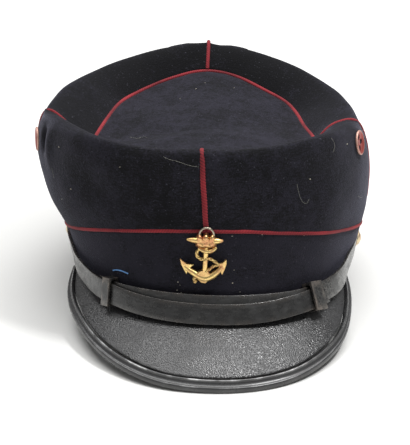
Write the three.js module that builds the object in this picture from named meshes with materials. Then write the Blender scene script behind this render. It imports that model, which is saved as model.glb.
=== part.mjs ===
// A soft kepi: a dark blue wool cap with a sunken top, red piping along its seams,
// a drooping black leather peak with a rolled edge, a two-part leather chin strap held
// by two brass side buttons, a brass anchor badge and a copper vent on each side.
//
// Lengths are in millimetres. +Z is up, +Y points to the back of the cap, and +X points to
// the right of someone who faces it. Azimuths run round the head from 0 at the front through
// 90 on that right side to 180 at the back.
//
// The cap is built upright on the plane of its band's lower edge, and the last lines lay it
// down as it rests on a table, on the lip of its peak and the back of its band.

import * as THREE from "three";

// The band's lower edge is an oval that follows the head.
const baseLength = 200;
const baseWidth = 154;
const ovalPower = 2.25;

// Stock and clearances.
const cloth = 2;
const bandCloth = 2.4;
const leather = 1.8;
const strapLeather = 1.4;
const gap = 0.3;

// Heights above the plane of the band's lower edge, and reaches beyond its oval.
const bandHeight = 44;
const bandFlare = 6;
const capHeight = 115;
const bellyReach = 14;
const rollWidth = 36;
const crownLean = -4.5;

// Cord sewn into the seams.
const frontCord = 2.8;
const seamCord = 2.3;

// Peak.
const peakReach = 37;
const peakDrop = 29.5;
const peakCrown = 2.2;
const bindingWidth = 6.5;
const bindingThickness = 4;

// Chin strap, its loops and its buttons.
const strapWidth = 10.5;
const leftLoopLength = 5;
const rightLoopLength = 8;
const strapLoopLeather = 1.1;
const strapEndLeft = 90;
const strapEndRight = 87;
const buttonRadius = 4.8;
const buttonHeight = 2.8;

// Badge and vents.
const badgeHeight = 28.5;
const badgeThickness = 1.8;
const badgeTurn = -6;
const badgeAzimuth = -0.7;
const ventRadius = 6.6;
const ventThickness = 1.2;

// Mesh density.
const columnsPerQuarter = 13;
const wallRows = 12;
const cordSides = 6;

// Rows of numbers under named columns.
function table(names, ...rows) {
  return rows.map((row) => Object.fromEntries(names.map((name, i) => [name, row[i]])));
}

// One row for each section of the cap, as shares of the sizes above:
//   base      height of the band's lower edge, of bandHeight
//   band      height of the seam between band and crown, of bandHeight
//   flare     reach of that seam, of bandFlare
//   belly     further reach of the crown where it is widest, of bellyReach
//   bellyUp   height of that place between the band seam and the crest
//   crest     height of the rolled crest, of capHeight
//   crestOut  further reach of the crest, of bellyReach
//   discIn    how far the sunken disc's seam lies inside the oval, of rollWidth
//   disc      height of that seam, of capHeight
//   low       how much of the band's flare its lower edge already has
const sections = table(
  ["at", "base", "band", "flare", "belly", "bellyUp", "crest", "crestOut", "discIn", "disc", "low"],
  [0, 0.0, 1.0, 0.5, 0.2, 0.7, 0.745, 0.0, 0.75, 0.59, 0],
  [30, 0.01, 0.88, 0.6, 0.32, 0.65, 0.77, 0.1, 0.7, 0.59, 0],
  [60, 0.06, 0.695, 1.05, 0.47, 0.6, 0.78, 0.19, 0.58, 0.61, 0.3],
  [90, 0.12, 0.6, 1.35, 0.48, 0.5, 0.725, -0.1, 0.44, 0.61, 0.5],
  [120, 0.1, 0.58, 1.15, 0.56, 0.6, 0.785, 0.1, 0.507, 0.637, 0.25],
  [150, 0.03, 0.62, 0.7, 0.5, 0.65, 0.9, 0.15, 0.33, 0.728, 0],
  [180, 0.0, 0.66, 0.5, 0.5, 0.7, 1.0, 0.15, 0.2, 0.831, 0],
  [210, 0.03, 0.62, 0.7, 0.55, 0.65, 0.92, 0.15, 0.32, 0.74, 0],
  [240, 0.1, 0.58, 0.9, 0.75, 0.6, 0.84, 0.3, 0.444, 0.662, 0],
  [270, 0.12, 0.56, 0.85, 0.95, 0.7, 0.757, 0.48, 0.35, 0.591, 0],
  [300, 0.06, 0.67, 0.9, 0.68, 0.65, 0.805, 0.25, 0.5, 0.61, 0],
  [330, 0.01, 0.87, 0.6, 0.37, 0.65, 0.768, 0.1, 0.68, 0.59, 0],
);

// The peak's reach and drop by azimuth, as shares of peakReach and peakDrop.
const peakOutline = table(
  ["at", "share"],
  [-70, 0.05],
  [-60, 0.19],
  [-50, 0.33],
  [-40, 0.46],
  [-30, 0.63],
  [-20, 0.805],
  [-10, 0.945],
  [0, 1.0],
  [10, 1.0],
  [20, 0.94],
  [30, 0.8],
  [40, 0.625],
  [50, 0.405],
  [60, 0.22],
  [70, 0.06],
);

// The strap by azimuth, as shares of strapWidth: how high its lower edge runs above the band's
// lower edge, how far the peak pushes that edge outwards, how much higher the layer behind
// runs than the layer in front, and how far the stiff strap stands off the band.
const strapRoute = table(
  ["at", "rise", "slant", "lift", "off"],
  [-90, 0.66, 0.0, 0.0, 0.0],
  [-75, 0.62, 0.0, 0.0, 0.0],
  [-60, 0.5, 0.0, 0.0, 0.0],
  [-45, 0.27, 0.02, 0.0, 0.0],
  [-30, 0.01, 0.16, 0.06, 0.0],
  [-15, -0.29, 0.22, 0.3, 0.0],
  [0, -0.44, 0.32, 0.36, 0.0],
  [15, -0.45, 0.4, 0.32, 0.0],
  [30, -0.25, 0.55, 0.08, 0.0],
  [45, -0.13, 0.34, 0.0, 0.02],
  [60, 0.14, 0.05, 0.0, 0.05],
  [75, 0.46, 0.0, 0.0, 0.05],
  [90, 0.55, 0.0, 0.0, 0.04],
);

const radians = THREE.MathUtils.degToRad;
const { lerp, clamp } = THREE.MathUtils;
const steps = (count, from, to) =>
  Array.from({ length: count + 1 }, (_, i) => from + ((to - from) * i) / count);

// A smooth curve through four values.
function through(a, b, c, d, share) {
  const bend = 2 * a - 5 * b + 4 * c - d + (3 * b - 3 * c + d - a) * share;
  return b + 0.5 * share * (c - a + share * bend);
}

// A value of the closed table of sections.
function column(name, azimuth) {
  const place = (((azimuth % 360) + 360) % 360) / (360 / sections.length);
  const first = Math.floor(place);
  const value = (i) => sections[(first + i + sections.length) % sections.length][name];
  return through(value(-1), value(0), value(1), value(2), place - first);
}

// A value of a table of places from left to right across the front.
function across(rows, name, azimuth) {
  const pitch = rows[1].at - rows[0].at;
  const place = clamp((azimuth - rows[0].at) / pitch, 0, rows.length - 1);
  const first = Math.min(Math.floor(place), rows.length - 2);
  const value = (i) => rows[clamp(first + i, 0, rows.length - 1)][name];
  return through(value(-1), value(0), value(1), value(2), place - first);
}

function fromOval(azimuth, out, height) {
  const [side, front] = [Math.sin(radians(azimuth)), Math.cos(radians(azimuth))];
  const size =
    Math.abs(side / (baseWidth / 2)) ** ovalPower + Math.abs(front / (baseLength / 2)) ** ovalPower;
  const reach = size ** (-1 / ovalPower) + out;
  return new THREE.Vector3(reach * side, -reach * front, height);
}

const baseAt = (azimuth) => column("base", azimuth) * bandHeight;
const seamAt = (azimuth) => column("band", azimuth) * bandHeight;
const flareAt = (azimuth, share) =>
  column("flare", azimuth) * bandFlare * lerp(column("low", azimuth), 1, clamp(share, 0, 1) ** 2);

// The crown's section at an azimuth: up the wall, over the crest and down to the disc.
function crownSection(azimuth) {
  const share = (name) => column(name, azimuth);
  const seam = new THREE.Vector2(flareAt(azimuth, 1), seamAt(azimuth));
  const crest = new THREE.Vector2(
    seam.x + share("crestOut") * bellyReach,
    share("crest") * capHeight,
  );
  const between = (from, to, across, up) =>
    new THREE.Vector2(lerp(from.x, to.x, across), lerp(from.y, to.y, up));
  const belly = new THREE.Vector2(
    seam.x + share("belly") * bellyReach,
    lerp(seam.y, crest.y, share("bellyUp")),
  );
  const disc = new THREE.Vector2(-share("discIn") * rollWidth, share("disc") * capHeight);
  const section = new THREE.SplineCurve([
    seam,
    between(seam, belly, 0.72, 0.4),
    belly,
    between(belly, crest, 0.3, 0.75),
    crest,
    between(crest, disc, 0.52, 0.4),
    disc,
  ]);
  section.arcLengthDivisions = 60;
  return section;
}

// A point of the crown's outer face, at a share of the way from the band to the disc.
function crownPoint(azimuth, share) {
  const across = crownSection(azimuth).getPointAt(clamp(share, 0, 1));
  const rise = (across.y - seamAt(azimuth)) / (capHeight - bandHeight);
  const point = fromOval(azimuth, across.x, across.y);
  point.x += crownLean * clamp(rise, 0, 1);
  return point;
}

// A point of the band's outer face, at a share of the way from its lower edge to the crown.
function bandPoint(azimuth, share) {
  const height = lerp(baseAt(azimuth), seamAt(azimuth), share);
  return fromOval(azimuth, flareAt(azimuth, share), height);
}

// The sunken disc, from its seam at 0 to its middle at 1.
function discPoint(azimuth, share) {
  const edge = crownPoint(azimuth, 1);
  const middle = new THREE.Vector3(crownLean / 2, 0, 0.655 * capHeight);
  return edge.lerp(middle, share);
}

// The outward normal of a face that is given as a function of azimuth and share.
function normalOf(face, azimuth, share) {
  const [from, to] = [Math.max(share - 0.004, 0), Math.min(share + 0.004, 1)];
  const round = face(azimuth + 0.2, share).sub(face(azimuth - 0.2, share));
  return round.cross(face(azimuth, to).sub(face(azimuth, from))).normalize();
}

// A closed body from its corners and triangles, turned so that its faces point outwards.
function fromCorners(corners, faces) {
  let volume = 0;
  for (let i = 0; i < faces.length; i += 3) {
    const [a, b, c] = [corners[faces[i]], corners[faces[i + 1]], corners[faces[i + 2]]];
    volume += a.dot(b.clone().cross(c));
  }
  if (volume < 0) faces.reverse();
  const geometry = new THREE.BufferGeometry().setFromPoints(corners);
  geometry.setIndex(faces);
  const faceted = geometry.toNonIndexed();
  faceted.computeVertexNormals();
  return faceted;
}

// A closed wall between an outer and an inner grid of points, rows by columns.
function wall(outer, inner, closedRound) {
  const [rows, columns] = [outer.length, outer[0].length];
  const faces = [];
  const index = (side, row, col) => (side * rows + row) * columns + (col % columns);
  const quad = (...places) => {
    const [a, b, c, d] = places.map((place) => index(...place));
    faces.push(a, b, c, a, c, d);
  };
  const top = rows - 1;
  for (let col = 0; col < (closedRound ? columns : columns - 1); col++) {
    for (let row = 0; row < top; row++) {
      quad([0, row, col], [0, row, col + 1], [0, row + 1, col + 1], [0, row + 1, col]);
      quad([1, row, col], [1, row + 1, col], [1, row + 1, col + 1], [1, row, col + 1]);
    }
    quad([0, 0, col], [1, 0, col], [1, 0, col + 1], [0, 0, col + 1]);
    quad([0, top, col], [0, top, col + 1], [1, top, col + 1], [1, top, col]);
  }
  const end = columns - 1;
  for (let row = 0; row < (closedRound ? 0 : top); row++) {
    quad([0, row, 0], [0, row + 1, 0], [1, row + 1, 0], [1, row, 0]);
    quad([0, row, end], [1, row, end], [1, row + 1, end], [0, row + 1, end]);
  }
  return fromCorners([...outer.flat(), ...inner.flat()], faces);
}

// A body swept through stations. Each has a centre and two half-axes, and the section is a
// ring of places in those axes.
function sweep(stations, section, closedRound) {
  const sides = section.length;
  const corners = stations.flatMap(({ centre, up, out }) =>
    section.map(([u, v]) => centre.clone().addScaledVector(up, u).addScaledVector(out, v)),
  );
  const faces = [];
  const count = stations.length;
  for (let i = 0; i < (closedRound ? count : count - 1); i++) {
    for (let j = 0; j < sides; j++) {
      const [here, next] = [i * sides, ((i + 1) % count) * sides];
      const side = (j + 1) % sides;
      faces.push(here + j, next + j, next + side, here + j, next + side, here + side);
    }
  }
  if (!closedRound) {
    const last = (count - 1) * sides;
    for (let j = 1; j < sides - 1; j++) {
      faces.push(0, j, j + 1);
      faces.push(last, last + j + 1, last + j);
    }
  }
  return fromCorners(corners, faces);
}

const round = (sides) =>
  steps(sides, 0, 2 * Math.PI).slice(0, -1).map((angle) => [Math.cos(angle), Math.sin(angle)]);
const oblong = [[1, 1], [-1, 1], [-1, -1], [1, -1]];

// A cord that lies in a seam, from places of [azimuth, share] on a face.
function cord(face, places, thickness, closedRound) {
  const points = places.map(([azimuth, share]) => face(azimuth, share));
  const count = points.length;
  const stations = places.map(([azimuth, share], i) => {
    const before = closedRound ? points[(i + count - 1) % count] : points[Math.max(i - 1, 0)];
    const after = closedRound ? points[(i + 1) % count] : points[Math.min(i + 1, count - 1)];
    const along = after.clone().sub(before).normalize();
    const normal = normalOf(face, azimuth, share);
    normal.addScaledVector(along, -normal.dot(along)).normalize();
    const centre = points[i].clone().addScaledVector(normal, -thickness * 0.2);
    const beside = along.clone().cross(normal).multiplyScalar(thickness / 2);
    return { centre, up: normal.multiplyScalar(thickness / 2), out: beside };
  });
  return sweep(stations, round(cordSides), closedRound);
}

const crownLength = (azimuth) => crownSection(azimuth).getLength();

// Crown quarter between two seams. Its edges stand off the seams to leave room for the cord.
function quarter(from, to, cordFrom, cordTo) {
  const outer = [];
  const inner = [];
  const edge = (azimuth) => (seamCord / 2 + gap) / crownLength(azimuth);
  for (const rise of steps(wallRows, 0, 1)) {
    const degree = (seam) => {
      const share = lerp(edge(seam), 1 - edge(seam), rise);
      return crownPoint(seam + 0.5, share).distanceTo(crownPoint(seam - 0.5, share));
    };
    const start = from + (cordFrom / 2 + gap) / degree(from);
    const end = to - (cordTo / 2 + gap) / degree(to);
    const places = steps(columnsPerQuarter, start, end).map((azimuth) => [
      azimuth,
      lerp(edge(azimuth), 1 - edge(azimuth), rise),
    ]);
    outer.push(places.map((place) => crownPoint(...place)));
    inner.push(
      places.map((place) => crownPoint(...place).addScaledVector(normalOf(crownPoint, ...place), -cloth)),
    );
  }
  return wall(outer, inner, false);
}

function seamCordAt(azimuth, thickness) {
  const clear = (seamCord + gap) / crownLength(azimuth);
  const places = steps(wallRows + 4, clear, 1 - clear).map((share) => [azimuth, share]);
  return cord(crownPoint, places, thickness, false);
}

const roundSeam = steps(4 * columnsPerQuarter, 0, 360).slice(0, -1);

function band() {
  const outer = [];
  const inner = [];
  for (const rise of steps(4, 0, 1)) {
    const share = (azimuth) =>
      rise * (1 - (seamCord / 2 + gap) / (seamAt(azimuth) - baseAt(azimuth)));
    outer.push(roundSeam.map((azimuth) => bandPoint(azimuth, share(azimuth))));
    inner.push(
      roundSeam.map((azimuth) => {
        const normal = normalOf(bandPoint, azimuth, 0.5).setZ(0).normalize();
        return bandPoint(azimuth, share(azimuth)).addScaledVector(normal, -bandCloth);
      }),
    );
  }
  return wall(outer, inner, true);
}

function topDisc() {
  const rings = steps(5, 0, 1).slice(0, -1);
  const edge = (seamCord / 2 + gap) / (baseWidth / 2 - rollWidth * 0.6);
  const point = (azimuth, rise) => discPoint(azimuth, lerp(edge, 1, rise));
  const top = rings.flatMap((rise) => roundSeam.map((azimuth) => point(azimuth, rise)));
  top.push(point(0, 1));
  const under = top.map((corner) => corner.clone().setZ(corner.z - cloth));
  const count = roundSeam.length;
  const faces = [];
  const lower = top.length;
  const pair = (a, b, c) => {
    faces.push(a, b, c);
    faces.push(lower + a, lower + c, lower + b);
  };
  for (let j = 0; j < count; j++) {
    const next = (j + 1) % count;
    for (let ring = 0; ring < rings.length - 1; ring++) {
      const [here, inside] = [ring * count, (ring + 1) * count];
      pair(here + j, here + next, inside + next);
      pair(here + j, inside + next, inside + j);
    }
    const last = (rings.length - 1) * count;
    pair(last + j, last + next, top.length - 1);
    faces.push(j, lower + j, lower + next, j, lower + next, next);
  }
  return fromCorners([...top, ...under], faces);
}

// The peak's upper face, from the band at 0 to its lip at 1.
function peakPoint(azimuth, share) {
  const size = across(peakOutline, "share", azimuth);
  const rootIn = bandCloth / 2;
  const out = lerp(-rootIn, peakReach * size, share);
  const arch = peakCrown * size * Math.sin(Math.PI * share);
  return fromOval(azimuth, out, baseAt(azimuth) - gap - peakDrop * size * share + arch);
}

const peakLength = (azimuth) =>
  Math.hypot(peakReach, peakDrop) * across(peakOutline, "share", azimuth) + bandCloth / 2;
const bindingAt = (azimuth) => Math.min(bindingWidth, peakLength(azimuth) * 0.62);
const peakEnd = peakOutline.at(-1).at;

function peak() {
  const outer = [];
  const inner = [];
  for (const rise of steps(5, 0, 1)) {
    const places = steps(26, -peakEnd + 5, peakEnd - 5).map((azimuth) => [
      azimuth,
      rise * (1 - (bindingAt(azimuth) + 2 * gap) / peakLength(azimuth)),
    ]);
    outer.unshift(places.map((place) => peakPoint(...place)));
    inner.unshift(
      places.map((place) => {
        const normal = normalOf(peakPoint, ...place);
        return peakPoint(...place).addScaledVector(normal, normal.z > 0 ? -leather : leather);
      }),
    );
  }
  return wall(outer, inner, false);
}

function peakBinding() {
  const stations = steps(32, -peakEnd, peakEnd).map((azimuth) => {
    const share = 1 - bindingAt(azimuth) / 2 / peakLength(azimuth);
    const along = peakPoint(azimuth, share + 0.02).sub(peakPoint(azimuth, share - 0.02)).normalize();
    const side = peakPoint(azimuth + 1, share).sub(peakPoint(azimuth - 1, share)).normalize();
    const normal = side.clone().cross(along).normalize();
    const size = bindingAt(azimuth) / bindingWidth;
    return {
      centre: peakPoint(azimuth, share).addScaledVector(normal, leather / 2),
      up: along.multiplyScalar(bindingAt(azimuth) / 2),
      out: normal.multiplyScalar((bindingThickness / 2) * lerp(0.5, 1, size)),
    };
  });
  return sweep(stations, round(8), false);
}

// The strap's place at an azimuth, on layer 0 beside the band or layer 1 over it.
function strapStation(azimuth, layer) {
  const size = (name) => across(strapRoute, name, azimuth) * strapWidth;
  const lift = layer ? 0 : size("lift");
  const bottom = baseAt(azimuth) + size("rise") + lift;
  const room = (strapLoopLeather + 4 * gap) * clamp((62 - Math.abs(azimuth)) / 12, 0, 1);
  const inner = room + gap + strapLeather / 2 + layer * (strapLeather + 2 * gap) + size("off");
  const flare = (height) =>
    flareAt(azimuth, (height - baseAt(azimuth)) / (seamAt(azimuth) - baseAt(azimuth)));
  const lean = (up) => size("slant") * (1 - up / strapWidth);
  const low = fromOval(azimuth, inner + flare(bottom) + lean(lift), bottom);
  const top = bottom + strapWidth;
  const high = fromOval(azimuth, inner + flare(top) + lean(lift + strapWidth), top);
  const up = high.clone().sub(low).normalize();
  const side = fromOval(azimuth + 1, 0, 0).sub(fromOval(azimuth - 1, 0, 0)).normalize();
  return {
    centre: low.clone().lerp(high, 0.5),
    up: up.clone().multiplyScalar(strapWidth / 2),
    out: side.cross(up).normalize().multiplyScalar(strapLeather / 2),
  };
}

const leftLoop = -30;
const rightLoop = 34;

function strap(from, to, layerOf) {
  const stations = steps(34, from, to).map((azimuth) => strapStation(azimuth, layerOf(azimuth)));
  return sweep(stations, oblong, false);
}

// A loop of leather round both layers.
function strapLoop(azimuth, length) {
  const [inside, outside] = [strapStation(azimuth, 0), strapStation(azimuth, 1)];
  const up = outside.up.clone().normalize();
  const out = outside.out.clone().normalize();
  const side = up.clone().cross(out).normalize();
  const centre = inside.centre.clone().lerp(outside.centre, 0.5);
  const top = inside.centre.clone().add(inside.up).sub(centre).dot(up) + 2 * gap;
  const low = outside.centre.clone().sub(outside.up).sub(centre).dot(up) - 2 * gap;
  const deep = strapLeather + 3 * gap;
  const box = (grow) => [
    [top + grow, deep + grow],
    [top + grow, -deep - grow],
    [low - grow, -deep - grow],
    [low - grow, deep + grow],
  ];
  const ring = (shift, corners) =>
    corners.map(([u, v]) =>
      centre.clone().addScaledVector(up, u).addScaledVector(out, v).addScaledVector(side, shift),
    );
  const half = length / 2;
  const outer = [ring(-half, box(strapLoopLeather)), ring(half, box(strapLoopLeather))];
  const inner = [ring(-half, box(0)), ring(half, box(0))];
  return wall(outer, inner, true);
}

// A domed button whose flat back faces the strap.
function button() {
  const dome = steps(5, 0, Math.PI / 2).map((angle) => new THREE.Vector2(
    buttonRadius * Math.cos(angle),
    buttonHeight * (0.3 + 0.7 * Math.sin(angle)),
  ));
  dome[dome.length - 1].x = 0;
  const profile = [new THREE.Vector2(0, 0), new THREE.Vector2(buttonRadius * 0.9, 0), ...dome];
  return new THREE.LatheGeometry(profile, 14).rotateX(Math.PI / 2);
}

// One half of the anchor's outline from its foot up, as shares of badgeHeight.
const anchorHalf = [
  { x: 0.0, up: 0.0 },
  { x: 0.07, up: 0.03 },
  { x: 0.2, up: 0.07 },
  { x: 0.315, up: 0.14 },
  { x: 0.35, up: 0.2 },
  { x: 0.41, up: 0.42 },
  { x: 0.31, up: 0.34 },
  { x: 0.21, up: 0.33 },
  { x: 0.25, up: 0.26 },
  { x: 0.17, up: 0.19 },
  { x: 0.06, up: 0.16 },
  { x: 0.055, up: 0.64 },
  { x: 0.16, up: 0.66 },
  { x: 0.17, up: 0.71 },
  { x: 0.3, up: 0.73 },
  { x: 0.3, up: 0.78 },
  { x: 0.16, up: 0.79 },
  { x: 0.15, up: 0.87 },
  { x: 0.0, up: 0.89 },
];

function anchor() {
  const right = anchorHalf.map(({ x, up }) => new THREE.Vector2(x * badgeHeight, up * badgeHeight));
  const left = right.slice(1, -1).reverse().map((point) => new THREE.Vector2(-point.x, point.y));
  const outline = new THREE.Shape([...right, ...left]);
  return new THREE.ExtrudeGeometry(outline, { depth: badgeThickness, bevelEnabled: false });
}

function vent() {
  const plate = new THREE.Shape().absarc(0, 0, ventRadius, 0, 2 * Math.PI, false);
  for (const [x, y] of [[1, 0], [-1, 0], [0, 1], [0, -1]]) {
    const hole = new THREE.Path();
    hole.absarc(0.45 * ventRadius * x, 0.45 * ventRadius * y, 0.24 * ventRadius, 0, 2 * Math.PI, true);
    plate.holes.push(hole);
  }
  return new THREE.ExtrudeGeometry(plate, { depth: ventThickness, bevelEnabled: false, curveSegments: 8 });
}

const cap = new THREE.Group();
function add(name, geometry, look) {
  const mesh = new THREE.Mesh(geometry, new THREE.MeshStandardMaterial({ metalness: 0, ...look }));
  mesh.name = name;
  cap.add(mesh);
  return mesh;
}

// Puts a mesh made in the XY plane on a surface, with its +Z along the outward normal.
function seat(mesh, point, normal, off) {
  const out = normal.clone().normalize();
  const across = new THREE.Vector3(0, 0, 1).cross(out).normalize();
  const up = out.clone().cross(across);
  mesh.quaternion.setFromRotationMatrix(new THREE.Matrix4().makeBasis(across, up, out));
  mesh.position.copy(point).addScaledVector(out, off);
  return mesh;
}

const wool = { color: 0x24242c, roughness: 0.95 };
const red = { color: 0xa8323c, roughness: 0.85 };
const black = { color: 0x2a2a2b, roughness: 0.45 };
const brass = { color: 0xd0a24c, roughness: 0.35, metalness: 0.9 };
const copper = { color: 0xc4685a, roughness: 0.45, metalness: 0.6 };

add("band", band(), wool);
add("band_piping", cord(bandPoint, roundSeam.map((azimuth) => [azimuth, 1]), seamCord, true), red);
add("crown_front_right", quarter(0, 90, frontCord, seamCord), wool);
add("crown_back_right", quarter(90, 180, seamCord, seamCord), wool);
add("crown_back_left", quarter(180, 270, seamCord, seamCord), wool);
add("crown_front_left", quarter(270, 360, seamCord, frontCord), wool);
add("front_piping", seamCordAt(0, frontCord), red);
add("right_piping", seamCordAt(90, seamCord), red);
add("back_piping", seamCordAt(180, seamCord), red);
add("left_piping", seamCordAt(270, seamCord), red);
add("disc_piping", cord(crownPoint, roundSeam.map((azimuth) => [azimuth, 1]), seamCord, true), red);
add("top_disc", topDisc(), wool);
add("peak", peak(), black);
add("peak_binding", peakBinding(), black);

const overlap = 5;
const layerLeft = (azimuth) => clamp((azimuth - (leftLoop - overlap - 12)) / 12, 0, 1);
add("strap_left", strap(-strapEndLeft, rightLoop + overlap, layerLeft), black);
add("strap_right", strap(leftLoop - overlap, strapEndRight, () => 0), black);
add("strap_loop_left", strapLoop(leftLoop, leftLoopLength), black);
add("strap_loop_right", strapLoop(rightLoop, rightLoopLength), black);

for (const [name, azimuth] of [["button_left", 4 - strapEndLeft], ["button_right", strapEndRight - 4]]) {
  const place = strapStation(azimuth, 0);
  seat(add(name, button(), brass), place.centre, place.out, strapLeather / 2 + gap);
}

// The badge leans on the band with its foot and on the piping with its head.
const badgeLength = 0.93 * badgeHeight;
const footUp = bandHeight - badgeLength;
const foot = fromOval(badgeAzimuth, flareAt(0, footUp / bandHeight) + 2 * gap, footUp);
const head = fromOval(badgeAzimuth, flareAt(0, 1) + seamCord * 0.3 + gap, bandHeight);
const facing = new THREE.Vector3(1, 0, 0).cross(head.clone().sub(foot)).normalize();
const badge = add("anchor_badge", anchor(), brass);
seat(badge, foot, facing, 0).rotateZ(radians(badgeTurn));
const ring = add("badge_ring", new THREE.TorusGeometry(0.145 * badgeHeight, 0.6, 6, 16), brass);
head.sub(foot).applyAxisAngle(facing, radians(badgeTurn)).add(foot);
seat(ring, head, facing, badgeThickness + 0.6 + gap);

for (const [name, azimuth] of [["vent_left", -74], ["vent_right", 60]]) {
  const share = 0.495;
  const normal = normalOf(crownPoint, azimuth, share);
  seat(add(name, vent(), copper), crownPoint(azimuth, share), normal, gap + 0.3);
}

// Lay the cap down: turn it until the peak's lip and the back of the band are level.
const kepi = new THREE.Group();
kepi.add(cap);
const corners = [];
cap.updateMatrixWorld(true);
cap.traverse((mesh) => {
  if (!mesh.isMesh) return;
  const place = mesh.geometry.attributes.position;
  for (let i = 0; i < place.count; i++) {
    corners.push(new THREE.Vector3().fromBufferAttribute(place, i).applyMatrix4(mesh.matrixWorld));
  }
});
let tilt = 0;
for (let round = 0; round < 8; round++) {
  const turned = corners.map((c) => c.clone().applyAxisAngle(new THREE.Vector3(1, 0, 0), tilt));
  const lowest = (side) => turned.filter(side).reduce((a, b) => (b.z < a.z ? b : a));
  const [front, back] = [lowest((c) => c.y < 0), lowest((c) => c.y > 0)];
  tilt -= Math.atan2(back.z - front.z, back.y - front.y);
}
cap.rotation.x = tilt;
kepi.updateMatrixWorld(true);
const box = new THREE.Box3().setFromObject(kepi, true);
cap.position.set(-(box.min.x + box.max.x) / 2, -(box.min.y + box.max.y) / 2, -box.min.z);

export default kepi;
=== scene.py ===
"""A soft kepi: dark blue wool with red piping, black leather peak and strap, brass badge.

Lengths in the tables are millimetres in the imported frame: +X to the right of someone who
faces the cap, -Y to the front, +Z up from the table it lies on.
"""
import math
import random
from contextlib import contextmanager

import bmesh
import bpy
import numpy as np
from bpy.props import FloatProperty, FloatVectorProperty, PointerProperty
from mathutils import Matrix, Vector, noise
from mathutils.bvhtree import BVHTree
from mathutils.kdtree import KDTree


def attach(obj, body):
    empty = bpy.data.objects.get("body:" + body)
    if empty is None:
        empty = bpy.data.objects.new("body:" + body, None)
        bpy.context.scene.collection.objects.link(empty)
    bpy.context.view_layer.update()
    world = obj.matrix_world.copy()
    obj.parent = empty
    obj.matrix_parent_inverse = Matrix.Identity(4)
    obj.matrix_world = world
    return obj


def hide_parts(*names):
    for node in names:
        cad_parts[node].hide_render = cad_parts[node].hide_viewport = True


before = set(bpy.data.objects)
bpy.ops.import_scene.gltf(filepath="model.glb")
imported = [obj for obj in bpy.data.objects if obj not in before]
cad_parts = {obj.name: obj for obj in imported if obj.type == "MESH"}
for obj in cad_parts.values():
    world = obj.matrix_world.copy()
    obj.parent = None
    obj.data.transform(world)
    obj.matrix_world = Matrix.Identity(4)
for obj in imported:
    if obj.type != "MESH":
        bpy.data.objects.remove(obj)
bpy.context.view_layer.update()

bl_info = {
    "name": "Kepi dressing",
    "version": (1, 0, 0),
    "blender": (4, 5, 0),
    "location": "View3D > Sidebar > Kepi",
    "description": "Dresses the kepi's solids in wool, cord, leather and brass",
    "category": "Object",
}

MM = 0.001
SHADER = "Principled BSDF"
# Corners nearer than this, in metres, are one corner.
WELD = 5e-6
# Width of the camera's sensor, in millimetres.
SENSOR = 36


def linear(hex_text):
    """An sRGB hex colour as the linear red, green and blue that shaders take."""
    parts = [int(hex_text.lstrip("#")[i:i + 2], 16) / 255 for i in (0, 2, 4)]
    return tuple(p / 12.92 if p <= 0.04045 else ((p + 0.055) / 1.055) ** 2.4 for p in parts)


def colour_field(name, description, hex_text):
    return FloatVectorProperty(
        name=name, description=description, subtype="COLOR", size=3, min=0, max=1,
        default=linear(hex_text))


def length_field(name, description, millimetres):
    return FloatProperty(
        name=name, description=description, unit="LENGTH", subtype="DISTANCE", min=0,
        default=millimetres * MM, precision=5)


class WoolSettings(bpy.types.PropertyGroup):
    """Colours and softness of the cloth."""
    dark: colour_field("Dark fibre", "Deepest colour of the wool", "#0f0f11")
    light: colour_field("Light fibre", "Worn, dusty colour of the nap", "#212028")
    fleck: colour_field("Fleck", "Pale fibres that lie on the nap", "#55555f")
    # How strongly the marked tone shows: painted sheen that lightens the top and the band, and
    # painted shade that darkens the roll.
    painted_sheen_and_shade: FloatProperty(
        name="Settled dust", description="How much dust has settled on the top and the band",
        min=0, max=2, default=1.0)
    rumple: length_field("Rumple", "How far the slack crown wanders from its solid", 0.9)
    nap: length_field("Nap", "Width of a tuft of the felted nap", 0.75)


class PipingSettings(bpy.types.PropertyGroup):
    """The red cord in the seams."""
    bright: colour_field("Bright thread", "Thread that catches the light", "#982a32")
    # The deep colour in the cord's grooves is painted shade.
    deep: colour_field("Deep thread", "Thread in the grooves of the cord", "#52121a")
    front: length_field("Front cord", "Thickness of the cord up the front", 2.8)
    seam: length_field("Seam cord", "Thickness of the other cords", 2.3)
    pitch: length_field("Twill pitch", "Length along the cord between two ribs", 1.5)


class LeatherSettings(bpy.types.PropertyGroup):
    """Peak, binding and strap."""
    peak: colour_field("Peak", "Colour of the pebbled peak", "#272728")
    wear_and_painted_highlight: colour_field("Rubbed grain", "Tops of the pebbles where the dye is rubbed", "#4f4f50")
    # The ridge colour is a painted highlight on the binding's ridges.
    ridge: colour_field("Rubbed ridge", "Ridges of the binding, rubbed pale", "#e0e0e0")
    strap: colour_field("Strap", "Colour of the strap's face", "#151515")
    crackle: colour_field("Crackle", "Pale cracks in the strap at the sides", "#50504d")
    raw: colour_field("Raw edge", "Cut edge of the strap's leather", "#746b63")
    pebble: length_field("Pebble", "Width of one pebble of the peak's grain", 0.66)


class MetalSettings(bpy.types.PropertyGroup):
    """Badge, buttons and vents."""
    brass: colour_field("Brass", "Polished stamped brass", "#efd08a")
    copper: colour_field("Copper tint", "Where the gilding has worn through", "#d0946c")
    silvery: colour_field("Worn to silver", "Pale metal of the buttons and the ring", "#cdc8bb")
    tarnish: colour_field("Tarnish", "Brown film in the hollows", "#5a3e1e")
    enamel: colour_field("Vent enamel", "Red lacquer of the vents", "#97433d")
    rim: colour_field("Vent rim", "Bare metal at the vents' edges", "#cfa797")


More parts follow.
